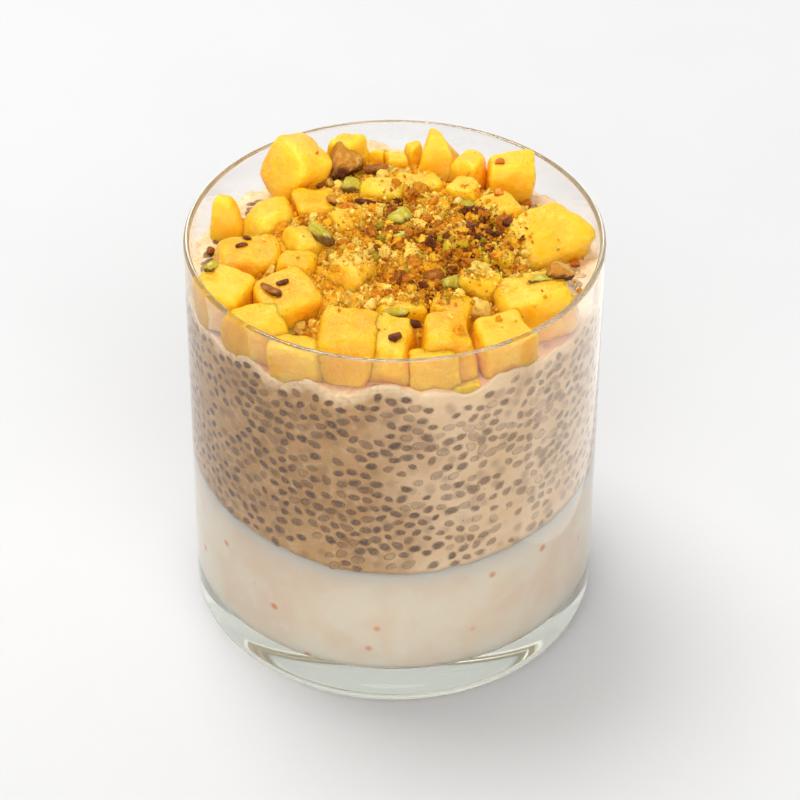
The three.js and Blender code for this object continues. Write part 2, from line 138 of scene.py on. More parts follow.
# Each mango piece, as in the part's source
MANGO = [
    dice(-18.9, 22.6, 74.1, 84.7, 10.8, 8, -48, pitch=-22, roll=14, power=5),
    dice(-30.3, 9.3, 71.8, 81.8, 7.6, 5, 0, (0.62, 0.4), lean=(-0.7, 1), power=4),
    dice(-23, 8.6, 72, 81, 10.4, 9.4, 25, 0.15, power=3.6),
    dice(-16.6, -1, 72, 81, 8.6, 9, 25, (0.45, 0.35), lean=(0.4, 1), pale=0.5),
    dice(-9.1, 28, 73, 83.6, 10.4, 6.4, -18, (0.46, 0.2)),
    dice(-3.4, 30.3, 73, 78.9, 4, 4, -20, 0.3),
    dice(0.3, 29, 73, 79, 4.4, 4, 10, 0.2),
    dice(3.3, 32, 73, 79.2, 3.2, 3.2, 30, 0.2),
    dice(-2.2, 15.3, 75.5, 81.2, 9, 7, -15, 0.2),
    dice(-7.8, 5.6, 75.5, 81.5, 8.4, 7, 20, 0.2),
    dice(8.8, 25.4, 72, 84.8, 12.4, 9, -12, (0.82, 0.5), lean=(-1, 2)),
    dice(13.4, 23.4, 72.5, 82.2, 7.6, 9, -34, 0.3),
    dice(20.1, 22, 73, 82.3, 9.2, 6, 8, (0, 0.2), lean=(1.6, 0)),
    dice(13, 15.2, 75, 81.6, 6.4, 6, -20, (0.3, 0.2)),
    dice(26.9, 3.8, 72, 80.7, 14.4, 11.2, 36, pitch=28, roll=-6),
    dice(24.4, -15.8, 71.5, 81, 13.4, 11, 14, roll=-2, taper=0.08),
    dice(15.3, -13, 75, 81.5, 6.6, 6, -30, 0.2),
    dice(9, -27.8, 71.5, 80.8, 9, 10.6, 10, 0.1),
    dice(18.6, -26, 71.5, 80.6, 9.6, 10, 25, 0.08),
    dice(-7.6, -10.2, 74, 82.6, 10, 9.4, -32, (0.4, 0.35), pale=1.0),
    dice(-8.4, -27.6, 71.5, 81, 11.4, 12.6, -5, (0.05, 0.08)),
    dice(-0.4, -28.4, 71.5, 80.8, 8.4, 10.8, -14, (0.16, 0.1)),
    dice(-18.8, -15.8, 72.5, 80.8, 11.4, 11, 32, 0.05, pale=0.4),
    dice(-30.2, -13.6, 72, 80.3, 10, 10, -25, 0.06),
    dice(-24.6, -23.4, 71, 80, 10.4, 8.6, 10, (0.05, 0.08)),
    dice(-26.4, -2.6, 72, 79.8, 12.4, 9.4, 10, 0.08),
    dice(-16, -29.2, 70, 78.8, 11.4, 6.4, -18, 0.08),
    dice(11, -1.2, 76, 81.6, 5.2, 4.4, 15, 0.1),
    dice(12.4, -32.8, 68, 74, 6.2, 6, 18, 0.1, power=5),
    dice(6.4, -32.6, 72, 78.6, 9.4, 4.8, 8, 0.1),
    dice(-14, 12.2, 75, 80.6, 9, 8.4, 15, 0.15),
    dice(5.5, 10, 75, 81.6, 9.4, 8, -10, (0.15, 0.2)),
    dice(4, 18.4, 75, 81, 8.6, 7, 12, 0.15),
    dice(19, 10.6, 74, 80.4, 9, 8, 30, 0.15),
    dice(1.5, -19, 74, 80.4, 9.6, 7, 5, (0.1, 0.15)),
    dice(10.4, -19.2, 74, 80, 8, 6.4, -12, 0.15),
    dice(-17.6, -6.6, 74, 80.2, 8, 6.6, -10, 0.15),
    dice(17.6, -4.2, 75, 80.6, 7.4, 6.6, 20, 0.15),
]
RIPE_AND_SHADED_PIECES = {4, 10, 18, 20, 21, 23, 26, 31, 35, 36, 37}  # numbers of the more golden ones, partly a painted shade of the inner and front pieces

# Each nut piece that shows by itself: kind, picture point that it is seen at, half sizes across, along the sight's
# upright and through, and the turn of its long side in the picture, in degrees.
NUTS = [
    ("roasted", 345, 163, 2.9, 3.3, 2.8, 0),
    ("pistachio", 351, 188, 2.1, 1.4, 1.3, 10),
    ("pistachio", 319, 235, 3.5, 1.5, 1.5, 113),
    ("brown", 377, 172, 2.1, 1.1, 1.1, 15),
    ("skin", 368, 203, 2.1, 0.6, 0.5, -8),
    ("orange", 346, 208, 1.1, 0.8, 0.8, 20),
    ("roasted", 332, 202, 1.1, 0.8, 0.8, -30),
    ("brown", 320, 185, 0.7, 0.7, 0.6, 0),
    ("pistachio", 399, 220, 2.4, 1.9, 1.7, -12),
    ("pistachio", 401, 237, 1.4, 0.9, 0.9, 8),
    ("pistachio", 470, 211, 2.0, 1.3, 1.3, 100),
    ("nib", 458, 204, 0.9, 0.8, 0.8, 30),
    ("nib", 459, 226, 1.2, 0.9, 0.9, 60),
    ("skin", 469, 228, 1.3, 1.0, 0.9, 30),
    ("skin", 508, 224, 1.0, 0.8, 0.7, 80),
    ("skin", 413, 325, 1.3, 0.8, 0.7, 20),
    ("orange", 525, 203, 1.0, 0.8, 0.7, 0),
    ("orange", 499, 194, 0.9, 0.7, 0.7, 40),
    ("orange", 499, 163, 0.9, 0.7, 0.6, 10),
    ("orange", 575, 265, 1.0, 0.8, 0.7, 30),
    ("roasted", 558, 275, 2.6, 1.6, 1.5, 5),
    ("pistachio", 540, 280, 2.0, 0.9, 0.7, 25),
    ("pistachio", 452, 288, 1.9, 2.0, 1.8, 75),
    ("brown", 434, 278, 1.6, 1.4, 1.3, 35),
    ("nib", 479, 314, 2.3, 2.2, 2.1, 80),
    ("nib", 372, 308, 1.4, 1.0, 1.0, 55),
    ("skin", 395, 339, 1.1, 0.9, 0.8, 15),
    ("brown", 211, 253, 1.2, 0.8, 0.7, 85),
    ("pistachio", 212, 268, 1.3, 1.0, 0.8, 80),
    ("pistachio", 397, 313, 2.0, 0.7, 0.6, -3),
    ("brown", 271, 291, 2.1, 1.0, 0.6, 118),
    ("skin", 283, 283, 1.1, 0.5, 0.4, 25),
    ("skin", 241, 246, 1.2, 0.4, 0.4, 12),
    ("skin", 247, 239, 0.9, 0.4, 0.4, -38),
    ("nib", 298, 329, 1.6, 1.1, 1.2, 20),
    ("pistachio", 290, 333, 0.9, 0.7, 0.7, -20),
    ("nib", 305, 334, 1.0, 0.8, 0.8, 40),
]

rng = np.random.default_rng(7)


def paint(shade):
    """The linear colour of each row of red, green and blue from 0 to 255: below 10 they are divided, above it they
    follow the 2.4 power of the screen's curve."""
    shown = np.array(shade) / 255
    return np.where(shown <= 0.04045, shown / 12.92, ((shown + 0.055) / 1.055) ** 2.4)


# Points and faces

def unit_rows(rows):
    """Each row divided by its length."""
    return rows / np.linalg.norm(rows, axis=-1, keepdims=True)


def polar(reach, angle):
    """Level places at a reach and an angle: the reach times the angle's cosine and sine."""
    return np.stack([reach * np.cos(angle), reach * np.sin(angle)], -1)


def lifted(flat, height):
    """Level places set at a height."""
    return np.concatenate([flat, np.broadcast_to(height, flat.shape[:-1])[..., None]], -1)


def away_from(points, spot=(0, 0)):
    """Each point's level distance from a spot."""
    return np.hypot(*(points[:, :2] - spot).T)


def draw_at(cells, seed):
    """A fixed draw from -1 to 1 for each lattice cell: its three whole numbers times large odd numbers are added, and
    the sum's bits are folded and multiplied twice."""
    bits = (cells * np.array([374761393, 668265263, 1274126177])).sum(-1) + seed * 974711
    bits = (bits ^ (bits >> 15)) * 2246822519
    bits = (bits ^ (bits >> 13)) * 3266489917
    bits = bits ^ (bits >> 16)
    return (bits & 0xFFFFFF) / 0x7FFFFF - 1.0


def noise(points, size, seed):
    """Value noise from -1 to 1: the draws at the eight corners of each lattice cell of that size, blended along the
    three axes by 3t^2 - 2t^3."""
    scaled = points / size
    cell = np.floor(scaled).astype(np.int64)
    t = scaled - cell
    t = t * t * (3 - 2 * t)
    total = 0.0
    for corner in np.ndindex(2, 2, 2):
        corner = np.array(corner)
        total = total + np.where(corner, t, 1 - t).prod(-1) * draw_at(cell + corner, seed)
    return total


def smooth_step(value, low, high):
    """0 below low, 1 above high, and 3t^2 - 2t^3 between them."""
    t = np.clip((value - low) / (high - low), 0, 1)
    return t * t * (3 - 2 * t)


def cube_skin(cuts):
    """Points and outward quads of the skin of a cube from -1 to 1 whose edges are cut into that many lengths. A point
    on an edge belongs to both sides, so the skin is closed."""
    lattice = np.stack(np.meshgrid(*[np.arange(cuts + 1)] * 3, indexing="ij"), -1)
    skin = ((lattice == 0) | (lattice == cuts)).any(-1)
    number = np.full(skin.shape, -1)
    number[skin] = np.arange(skin.sum())
    sides = [number[0].T, number[-1], number[:, 0], number[:, -1].T, number[:, :, 0].T, number[:, :, -1]]
    quads = [np.stack([s[:-1, :-1], s[1:, :-1], s[1:, 1:], s[:-1, 1:]], -1).reshape(-1, 4) for s in sides]
    return lattice[skin] * (2.0 / cuts) - 1.0, np.concatenate(quads)


def closed_rings(rings, first_pole, last_pole):
    """Points and faces of a closed skin: rings of points, each joined to the next by quads and to itself all round,
    with a fan of triangles to a pole at either end. Rings run anticlockwise, from below and outside to the top."""
    rows, sides = rings.shape[:2]
    here = np.arange(rows * sides).reshape(rows, sides)
    beside = np.roll(here, -1, axis=1)
    quads = np.stack([here[:-1], beside[:-1], beside[1:], here[1:]], -1).reshape(-1, 4)
    first, last = np.full(sides, rows * sides), np.full(sides, rows * sides + 1)
    fans = np.concatenate([np.stack([first, beside[0], here[0]], -1), np.stack([here[-1], beside[-1], last], -1)])
    points = np.concatenate([rings.reshape(-1, 3), [first_pole], [last_pole]])
    return points, [quads, fans]


def turned(profile, sides):
    """Rings of points: each radius and height of a profile carried once round the upright axis."""
    angle = np.arange(sides) * (2 * math.pi / sides)
    radius, height = np.asarray(profile, float).T
    return lifted(polar(radius[:, None], angle), height[:, None])


def arc(radius, height, size, start, end):
    """Profile points of a circle's arc about a radius and height, from one angle in degrees to another."""
    angle = np.radians(np.linspace(start, end, ARC_STEPS + 1))
    return ([radius, height] + polar(size, angle)).tolist()


def repeated(points, faces, count):
    """Faces of a shape that is repeated that many times, each copy's points following the last one's."""
    shift = np.arange(count)[:, None, None] * len(points)
    return [(block[None] + shift).reshape(-1, block.shape[1]) for block in faces]


def make_piece(name, points, faces, material, slot, nodes=(), smooth=True, **values):
    """Puts points in millimetres and blocks of faces into a mesh in metres at the origin. It rides on the body,
    stands for the nodes named and keeps one value, vector or colour a point for each name in values."""
    mesh = bpy.data.meshes.new(name)
    corners = np.concatenate([block.ravel() for block in faces])
    sizes = np.concatenate([np.full(len(block), block.shape[1]) for block in faces])
    mesh.vertices.add(len(points))
    mesh.vertices.foreach_set("co", (points * MM).astype(np.float32).ravel())
    mesh.loops.add(len(corners))
    mesh.loops.foreach_set("vertex_index", corners.astype(np.int32))
    mesh.polygons.add(len(sizes))
    mesh.polygons.foreach_set("loop_start", (np.cumsum(sizes) - sizes).astype(np.int32))
    mesh.polygons.foreach_set("use_smooth", np.full(len(sizes), smooth))
    mesh.update(calc_edges=True)
    for label, value in values.items():
        kind, field = (("FLOAT", "value"), ("FLOAT_VECTOR", "vector"))[value.ndim - 1]
        if label == "tint":
            kind, field, value = "FLOAT_COLOR", "color", np.concatenate([value, np.ones((len(value), 1))], 1)
        mesh.attributes.new(label, kind, "POINT").data.foreach_set(field, value.astype(np.float32).ravel())
    mesh.materials.append(material)
    piece = bpy.data.objects.new(name, mesh)
    bpy.context.scene.collection.objects.link(piece)
    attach(piece, "root")
    if nodes:
        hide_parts(*nodes)
    return piece


# Reach and levels inside the glass

def inside_radius(z):
    """Radius of the wall's inner face at a height: it grows evenly from the bottom corner to the thin rim."""
    corner = BASE_THICKNESS + INNER_CORNER
    rise = (z - corner) / (GLASS_HEIGHT - RIM_WALL / 2 - corner)
    return INNER_RADIUS + (WALL - RIM_WALL) * np.clip(rise, 0, 1)


def spread_to_wall(points):
    """Points of a straight fill moved outward in proportion, so that the fill follows the wall's inner face."""
    points[..., :2] *= (inside_radius(points[..., 2]) / INNER_RADIUS)[..., None]
    return points


def layer_level(x, y):
    """Height of the line where cream and pudding meet: level at the back, dipping as the square of the distance
    towards the front wall, with a small unevenness."""
    place = np.stack([x, y, np.zeros_like(x)], -1)
    wave = LAYER_WAVE * (noise(place, 5.0, 3) + 0.6 * noise(place, 1.9, 4))
    return LAYER_LEVEL - LAYER_DIP * (np.minimum(y, 0) / INNER_RADIUS) ** 2 + wave


def pudding_top(x, y):
    """Height of the pudding's top: tilted to the back, with humps that grow with the square of the radius."""
    reach = np.hypot(x, y) / INNER_RADIUS
    wave = np.cos(PUDDING_HUMPS * np.arctan2(y, x))
    return PUDDING_LEVEL + PUDDING_TILT * y + PUDDING_WAVE * reach ** 2 * wave


def frothy_top(x, y):
    """The pudding's top with its froth: noise of three sizes, and where it clings to the wall a rise and fall with
    humps h exp(-(d/w)^2)."""
    place = np.stack([x, y, np.zeros_like(x)], -1)
    edge = np.clip(np.hypot(x, y) / INNER_RADIUS, 0, 1) ** 24
    froth = 0.35 * noise(place, 4.0, 11) + 0.22 * noise(place, 1.7, 12) + 0.1 * noise(place, 0.8, 13)
    rise = 0.9 * noise(place, 6.0, 14) + 0.7 * noise(place, 2.4, 15) + 0.3 * noise(place, 1.1, 16)
    for hump_x, hump_y, width, height in FROTH_HUMPS:
        rise = rise + height * np.exp(-((x - hump_x) ** 2 + (y - hump_y) ** 2) / width ** 2)
    return pudding_top(x, y) + froth + edge * rise


def mound_top(x, y):
    """Height of the crumble: a dome 1 - reach^3 over an oval on the pudding."""
    reach = np.hypot((x - MOUND_AT[0]) / MOUND_RADII[0], (y - MOUND_AT[1]) / MOUND_RADII[1])
    return pudding_top(x, y) + MOUND_EDGE + MOUND_HEIGHT * np.clip(1 - reach ** MOUND_FULLNESS, 0, None)


# Materials

class Bench:
    """Lays nodes in the tree of a material, group or world. A socket given as a value is linked; any other value is set
    on the socket itself."""

    def __init__(self, owner, tree, end):
        """The end is the node that finish feeds."""
        self.owner, self.tree, self.end = owner, tree, end

    def node(self, kind, sockets, output=0, **settings):
        """An output of a new node."""
        node = self.tree.nodes.new("ShaderNode" + kind)
        for name, value in settings.items():
            setattr(node, name, value)
        self.fill(node, sockets)
        return node.outputs[output]

    def fill(self, node, sockets):
        """Links or sets inputs of a node."""
        for key, value in sockets.items():
            if isinstance(value, bpy.types.NodeSocket):
                self.tree.links.new(value, node.inputs[key])
            else:
                node.inputs[key].default_value = value

    def finish(self, **sockets):
        """Links or sets inputs of the end node, named with _ for each space, and gives back the owner."""
        self.fill(self.end, {name.replace("_", " "): value for name, value in sockets.items()})
        return self.owner

    def place(self):
        """Object coordinates in millimetres."""
        spot = self.node("TexCoord", {}, "Object")
        return self.node("VectorMath", {0: spot, "Scale": 1 / MM}, operation="SCALE")

    def kept(self, label, output="Fac"):
        """A value that the piece keeps for each of its points."""
        return self.node("Attribute", {}, output, attribute_name=label)

    def cloud(self, place, size, detail=2.0, stretch=None):
        """Noise from 0 to 1 with lumps of that size in millimetres."""
        if stretch:
            place = self.node("VectorMath", {0: place, 1: stretch}, operation="MULTIPLY")
        return self.node("TexNoise", {"Vector": place, "Scale": 1 / size, "Detail": detail}, "Fac")

    def cells(self, place, size, feature="F1", output="Distance"):
        """Distance from the middle of scattered cells of that size, or another output of them."""
        return self.node("TexVoronoi", {"Vector": place, "Scale": 1 / size}, output, feature=feature)

    def sum(self, operation, *values):
        """Values joined by an operation of arithmetic."""
        return self.node("Math", dict(enumerate(values)), operation=operation)

    def step(self, value, low, high, start=0.0, end=1.0):
        """A smooth step from start to end as value goes from low to high."""
        sockets = {"Value": value, "From Min": low, "From Max": high, "To Min": start, "To Max": end}
        return self.node("MapRange", sockets, "Result", interpolation_type="SMOOTHSTEP")

    def mix(self, share, first, second):
        """Two colours mixed by a share. Each is a socket, or a red, green and blue from 0 to 255."""
        sockets = {0: share, 6: first, 7: second}
        for key in (6, 7):
            if not isinstance(sockets[key], bpy.types.NodeSocket):
                sockets[key] = (*paint(sockets[key]), 1.0)
        return self.node("Mix", sockets, 2, data_type="RGBA")

    def bump(self, height, strength, distance):
        """A normal tilted by a height, with its distance in millimetres."""
        return self.node("Bump", {"Height": height, "Strength": strength, "Distance": distance * MM})

    def group(self, tree, **sockets):
        """The outputs of a node group fed with named inputs."""
        return self.node("Group", sockets, node_tree=tree).node.outputs


def blank_material(name):
    """The bench of a new material, with its Principled shader as the end."""
    material = bpy.data.materials.new(name)
    material.use_nodes = True
    return Bench(material, material.node_tree, material.node_tree.nodes["Principled BSDF"])


def new_group(name, *given):
    """The bench of a new node group that gives a colour and its grain, and the values that the group is given."""
    kinds = {"Place": "NodeSocketVector", "Color": "NodeSocketColor", "Grain": "NodeSocketFloat"}
    tree = bpy.data.node_groups.new(name, "ShaderNodeTree")
    for side, labels in (("INPUT", given), ("OUTPUT", ("Color", "Grain"))):
        for label in labels:
            tree.interface.new_socket(label, in_out=side, socket_type=kinds[label])
    bench = Bench(tree, tree, tree.nodes.new("NodeGroupOutput"))
    return bench, tree.nodes.new("NodeGroupInput").outputs


def gel_group():
    """The pudding's gel: brown on the left, turning pale tan towards the right as painted light, both in clouds, with
    milky drifts, soft brown shades of seeds that lie deeper, and fine dark husk specks."""
    bench, given = new_group("gel_colour", "Place")
    place = given["Place"]
    cloud = bench.step(bench.cloud(place, 7.0), 0.35, 0.65)
    pale = bench.mix(cloud, (250, 220, 182), (242, 208, 164))
    brown = bench.mix(cloud, (212, 166, 106), (198, 150, 90))
    # painted light: the gel turns from brown to pale tan towards the right, as if more brightly lit there
    across = bench.node("SeparateXYZ", {"Vector": place}, "X")
    painted_light_right = bench.sum("MULTIPLY_ADD", bench.cloud(place, 10.0), 16.0, across)
    colour = bench.mix(bench.step(painted_light_right, 0.0, 20.0), brown, pale)
    milky = bench.step(bench.cloud(place, 1.4, 4.0), 0.48, 0.7, 0.0, 0.45)
    colour = bench.mix(milky, colour, (238, 208, 164))
    deep = bench.step(bench.cells(place, 2.9, "SMOOTH_F1"), 0.12, 0.42, 0.4, 0.0)
    colour = bench.mix(deep, colour, (140, 98, 58))
    speck = bench.step(bench.cells(place, 1.8), 0.05, 0.1, 0.6, 0.0)
    colour = bench.mix(speck, colour, (96, 62, 38))
    return bench.finish(Color=colour, Grain=bench.cloud(place, 0.9, 3.0))


def mottle_group():
    """Uneven colour of nuts and crumbs: a colour is darkened and lightened by fine noise, and browned in spots."""
    bench, given = new_group("nut_mottle", "Color", "Place")
    fine = bench.cloud(given["Place"], 0.45, 3.0)
    colour = bench.mix(bench.step(fine, 0.35, 0.6, 0.5, 0.0), given["Color"], (120, 66, 22))
    colour = bench.mix(bench.step(fine, 0.55, 0.8, 0.0, 0.5), colour, (246, 214, 130))
    return bench.finish(Color=colour, Grain=fine)


GEL = gel_group()
MOTTLE = mottle_group()


def clear_glass():
    """Clear glass with a faint green-grey depth. Rays from lamps pass straight through it, so that what it holds is
    lit."""
    bench = blank_material("clear_glass")
    bench.finish(Base_Color=(1, 1, 1, 1), Roughness=0.0, IOR=1.5, Transmission_Weight=1.0)
    from_lamp = bench.node("LightPath", {}, "Is Shadow Ray")
    through = bench.node("BsdfTransparent", {"Color": (0.96, 0.97, 0.96, 1)})
    surface = bench.node("MixShader", {0: from_lamp, 1: bench.end.outputs[0], 2: through})
    depth = bench.node("VolumeAbsorption", {"Color": (0.75, 0.79, 0.675, 1), "Density": 11.0})
    bench.fill(bench.tree.nodes["Material Output"], {"Surface": surface, "Volume": depth})
    return bench.owner


def pale_cream():
    """Smooth cream: warm off-white with pinkish clouds, greyer just under the pudding."""
    bench = blank_material("pale_cream")
    place = bench.place()
    colour = bench.mix(bench.step(bench.cloud(place, 9.0), 0.35, 0.68), (247, 234, 214), (243, 222, 198))
    colour = bench.mix(bench.step(bench.cloud(place, 3.0, 3.0), 0.55, 0.8, 0.0, 0.5), colour, (250, 240, 224))
    under = bench.step(bench.kept("under"), 0.0, 5.0, 0.6, 0.0)
    colour = bench.mix(under, colour, (230, 226, 214))
    fleck = bench.step(bench.cells(place, 7.5), 0.03, 0.15, 0.85, 0.0)
    colour = bench.mix(fleck, colour, (226, 142, 54))
    return bench.finish(
        Base_Color=colour, Roughness=0.5, Subsurface_Weight=1.0, Subsurface_Radius=(1.0, 0.9, 0.75),
        Subsurface_Scale=9 * MM)


def seeded_gel():
    """The pudding between its seeds, paler and frothy at its top edge."""
    bench = blank_material("seeded_gel")
    gel = bench.group(GEL, Place=bench.place())
    bubbles = bench.step(gel["Grain"], 0.3, 0.6, 0.45, 1.0)
    froth = bench.sum("MULTIPLY", bench.step(bench.kept("froth"), 0.1, 0.9), bubbles)
    colour = bench.mix(froth, gel["Color"], (246, 216, 172))
    return bench.finish(Base_Color=colour, Normal=bench.bump(gel["Grain"], 0.5, 0.3), Roughness=0.38)


def soaked_seed():
    """A soaked seed: mottled middle, a darker outline here and there, and a soft, uneven edge that passes into the gel.
    clear is how little gel lies over it, lowered towards the right as painted light; rim runs from its middle to its
    edge."""
    bench = blank_material("soaked_seed")
    place = bench.place()
    gel = bench.group(GEL, Place=place)
    speckle = bench.cloud(place, 0.45, 3.0)
    rim = bench.sum("MULTIPLY_ADD", bench.sum("SUBTRACT", speckle, 0.5), 0.5, bench.kept("rim"))
    tint = bench.kept("tint", "Color")
    middle = bench.mix(bench.step(speckle, 0.46, 0.64, 0.0, 0.55), tint, (172, 126, 82))
    colour = bench.mix(bench.step(rim, 0.4, 0.7, 0.0, 0.5), middle, (70, 40, 20))
    seen = bench.sum("MULTIPLY", bench.kept("clear"), bench.step(rim, 0.55, 1.0, 1.0, 0.0))
    return bench.finish(Base_Color=bench.mix(seen, gel["Color"], colour), Roughness=0.4)


def ripe_mango():
    """Wet mango flesh: golden clouds, more golden on some pieces partly as painted shade, paler fibres along each
    piece's own grain, amber towards its foot as painted shade of its lower sides, light let in under the surface."""
    bench = blank_material("ripe_mango")
    place = bench.place()
    grain = bench.kept("grain", "Vector")
    fibre = bench.cloud(grain, 0.9, 3.0, (0.16, 1.0, 1.0))
    cloud = bench.step(bench.cloud(place, 4.0), 0.3, 0.7)
    lemon = bench.mix(cloud, (253, 196, 46), (251, 183, 12))
    golden = bench.mix(cloud, (243, 184, 20), (236, 168, 3))
    # the more golden pieces: riper colour, partly painted shade of the inner and front ones
    ripe = bench.kept("ripe")
    colour = bench.mix(ripe, lemon, golden)
    strands = bench.step(fibre, 0.5, 0.75, 0.0, 0.32)
    streaks = bench.sum("MULTIPLY", bench.kept("pale"), bench.step(fibre, 0.35, 0.6, 0.2, 0.75))
    pale = bench.sum("MULTIPLY", bench.sum("ADD", strands, streaks), bench.step(ripe, 0.0, 1.0, 1.0, 0.45))
    colour = bench.mix(pale, colour, (255, 218, 94))
    # painted shade: each piece turns amber towards its foot, where its sides are less lit
    colour = bench.mix(bench.step(bench.kept("rise"), 0.0, 0.8, 0.4, 0.0), colour, (244, 174, 4))
    fleck = bench.step(bench.cells(place, 3.6), 0.03, 0.06, 0.5, 0.0)
    colour = bench.mix(fleck, colour, (190, 120, 10))
    height = bench.sum("ADD", bench.sum("MULTIPLY", fibre, 0.8), bench.cloud(place, 0.55, 3.0))
    wet = bench.step(bench.cloud(place, 1.6), 0.3, 0.7, 0.2, 0.42)
    return bench.finish(
        Base_Color=colour, Normal=bench.bump(height, 0.6, 0.4), Roughness=wet, Specular_IOR_Level=0.35,
        Subsurface_Weight=1.0, Subsurface_Radius=(0.7, 0.6, 0.12), Subsurface_Scale=5 * MM)


def crumble_core():
    """The heap's core between its loose pieces: small cells of golden, amber, tan, olive and brown crumb, darkened in
    its hollows as painted shade, and golden mango pulp away from the heap."""
    bench = blank_material("crumble_core")
    place = bench.place()
    drawn = bench.node("SeparateColor", {"Color": bench.cells(place, 0.8, "F1", "Color")})
    ramp = bench.node("ValToRGB", {"Fac": drawn})
    shades = [(0.0, (112, 56, 12)), (0.09, (172, 102, 12)), (0.26, (212, 138, 14)), (0.5, (230, 160, 24)),
              (0.72, (238, 180, 44)), (0.86, (182, 154, 26)), (0.94, (246, 210, 96))]
    steps = ramp.node.color_ramp
    steps.interpolation = "CONSTANT"
    for index, (at, shade) in enumerate(shades):
        spot = steps.elements[index] if index < 2 else steps.elements.new(at)
        spot.position = at
        spot.color = (*paint(shade), 1)
    nut = bench.group(MOTTLE, Color=ramp, Place=place)
    colour = bench.mix(bench.step(bench.cloud(place, 4.5), 0.42, 0.64, 0.0, 0.55), nut["Color"], (150, 80, 12))
    # painted shade: the bed darkens to brown where its lumps dip
    low = bench.step(bench.kept("hollow"), -0.9, 0.1, 0.75, 0.0)
    colour = bench.mix(low, colour, (116, 56, 6))
    pulp = bench.mix(bench.cloud(place, 1.2), (250, 194, 34), (236, 168, 10))
    away = bench.sum("MULTIPLY_ADD", bench.cloud(place, 3.0), 8.0, bench.kept("away"))
    colour = bench.mix(bench.step(away, 18.0, 25.0, 0.0, 0.8), colour, pulp)
    return bench.finish(
        Base_Color=colour, Normal=bench.bump(nut["Grain"], 0.8, 0.4), Roughness=0.7, Specular_IOR_Level=0.25)


def chopped_nut():
    """Nuts and crumbs: each keeps its own tint, made uneven by the mottle."""
    bench = blank_material("chopped_nut")
    tint = bench.kept("tint", "Color")
    nut = bench.group(MOTTLE, Color=tint, Place=bench.place())
    return bench.finish(
        Base_Color=bench.mix(0.5, tint, nut["Color"]), Normal=bench.bump(nut["Grain"], 0.8, 0.35),
        Roughness=0.5, Specular_IOR_Level=0.15)


def plain_floor():
    """A pale matt floor with a trace of unevenness."""
    bench = blank_material("plain_floor")
    tone = bench.step(bench.cloud(bench.place(), 40.0), 0.3, 0.7, 0.715, 0.725)
    return bench.finish(Base_Color=tone, Roughness=0.7)


# The glass and what fills it

def glass_tumbler():
    """The tumbler: a profile of foot hollow, flat ring, heel arc, straight wall, rim arc, the inner face that leans out
    towards the rim, inner corner arc and base, turned about the axis. A ring close to each arc keeps the walls' shading
    flat."""
    lip = RIM_WALL / 2
    rim, corner = GLASS_HEIGHT - lip, BASE_THICKNESS + INNER_CORNER
    profile = [
        (FOOT_RING - FOOT_SLOPE, FOOT_HOLLOW),
        (FOOT_RING, 0.0),
        *arc(GLASS_RADIUS - HEEL_RADIUS, HEEL_RADIUS, HEEL_RADIUS, -90, 0),
        *((GLASS_RADIUS, z) for z in (HEEL_RADIUS + WALL_EASE, rim - WALL_EASE)),
        *arc(GLASS_RADIUS - lip, rim, lip, 0, 180),
        *((inside_radius(z), z) for z in (rim - WALL_EASE, corner + WALL_EASE)),
        *arc(INNER_RADIUS - INNER_CORNER, corner, INNER_CORNER, 0, -90),
    ]
    rings = turned(profile, GLASS_SIDES)
    points, faces = closed_rings(rings, (0, 0, FOOT_HOLLOW), (0, 0, BASE_THICKNESS))
    make_piece("glass_tumbler", points, faces, clear_glass(), "glass", ["glass"])


def fill_between(profile, low, high):
    """A fill of the glass from one level to another: a profile of reaches and shares of the height between them, turned
    about the axis and spread to the wall. Gives its points, its faces and each point's depth under the upper level."""
    rings = turned(profile, FILL_SIDES)
    x, y, share = np.moveaxis(rings, -1, 0)
    bottom, top = low(x, y), high(x, y)
    rings[..., 2] = bottom + share * (top - bottom)
    depth = (top - rings[..., 2]).ravel()
    foot, peak = (float(level(np.zeros(1), np.zeros(1))[0]) for level in (low, high))
    points, faces = closed_rings(spread_to_wall(rings), (0, 0, foot), (0, 0, peak))
    return points, faces, np.concatenate([depth, [peak - foot, 0]])


def cream_fill():
    """The cream: lies on the base with a thin film of air, follows the corner's arc until it reaches just into the
    wall, and ends at the meeting line."""
    floor = BASE_THICKNESS + CREAM_FILM
    bend = np.radians(np.linspace(-90, 0, ARC_STEPS + 1))
    size = np.linspace(INNER_CORNER - CREAM_FILM, INNER_CORNER + WET_DEPTH, ARC_STEPS + 1)
    across, above = INNER_RADIUS - INNER_CORNER, BASE_THICKNESS + INNER_CORNER
    corner = [across, above] + polar(size, bend)
    wall = [(WET_RADIUS, z) for z in np.linspace(above, LAYER_LEVEL, 30)[1:]]
    lid = [(WET_RADIUS * share, LAYER_LEVEL) for share in np.linspace(1, 0, 14)[1:-1]]
    profile = np.concatenate([corner, wall, lid])
    profile[:, 1] = np.clip((profile[:, 1] - floor) / (LAYER_LEVEL - floor), 0, 1)
    points, faces, under = fill_between(profile, lambda x, y: np.full_like(x, floor), layer_level)
    make_piece("cream_fill", points, faces, pale_cream(), "cream", ["cream_layer"], under=under)


